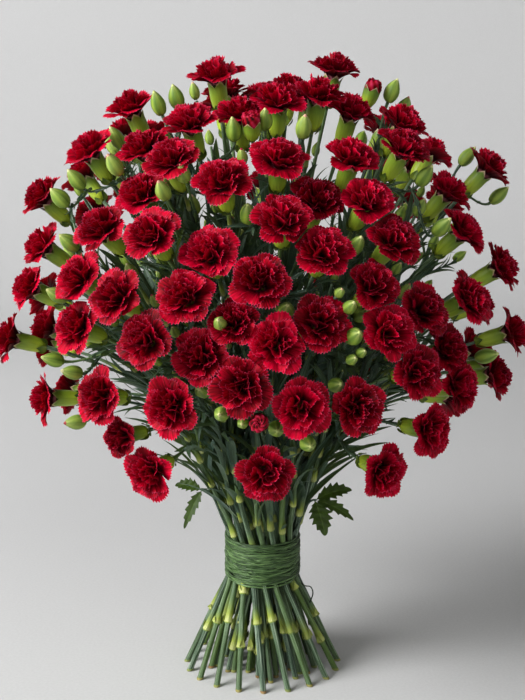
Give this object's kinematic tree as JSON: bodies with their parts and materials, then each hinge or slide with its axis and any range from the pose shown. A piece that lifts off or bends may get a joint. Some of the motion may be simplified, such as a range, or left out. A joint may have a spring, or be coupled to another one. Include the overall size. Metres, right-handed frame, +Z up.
{
  "type": "bunch of carnations",
  "caption": "Hand-tied round bunch of crimson spray carnations with green cups, buds and leaves, standing on its splayed cut stems under a raffia band.",
  "frame": {"origin": "on the surface that the cut stems stand on, under the middle of the whole bunch", "axes": "+Z up from the cut ends to the blooms, -Y to the front of the bunch, +X to its right as seen from the front"},
  "size_m": [0.433, 0.4238, 0.5153],
  "materials": {
    "petals": "matte",
    "stems": "satin",
    "leaves": "satin",
    "tie": "satin"
  },
  "bodies": {
    "root": {"leafy_twig_left": "leaves", "leafy_twig_right": "leaves", "petals_01": "petals", "petals_02": "petals", "petals_03": "petals", "petals_04": "petals", "petals_05": "petals", "petals_06": "petals", "petals_07": "petals", "petals_08": "petals", "petals_09": "petals", "petals_10": "petals", "petals_11": "petals", "petals_12": "petals", "petals_13": "petals", "petals_14": "petals", "petals_15": "petals", "petals_16": "petals", "petals_17": "petals", "petals_18": "petals", "petals_19": "petals", "petals_20": "petals", "petals_21": "petals", "petals_22": "petals", "petals_23": "petals", "petals_24": "petals", "petals_25": "petals", "petals_26": "petals", "petals_27": "petals", "petals_28": "petals", "petals_29": "petals", "spray_01": "stems", "spray_02": "stems", "spray_03": "stems", "spray_04": "stems", "spray_05": "stems", "spray_06": "stems", "spray_07": "stems", "spray_08": "stems", "spray_09": "stems", "spray_10": "stems", "spray_11": "stems", "spray_12": "stems", "spray_13": "stems", "spray_14": "stems", "spray_15": "stems", "spray_16": "stems", "spray_17": "stems", "spray_18": "stems", "spray_19": "stems", "spray_20": "stems", "spray_21": "stems", "spray_22": "stems", "spray_23": "stems", "spray_24": "stems", "spray_25": "stems", "spray_26": "stems", "spray_27": "stems", "spray_28": "stems", "tie": "tie"}
  },
  "joints": []
}
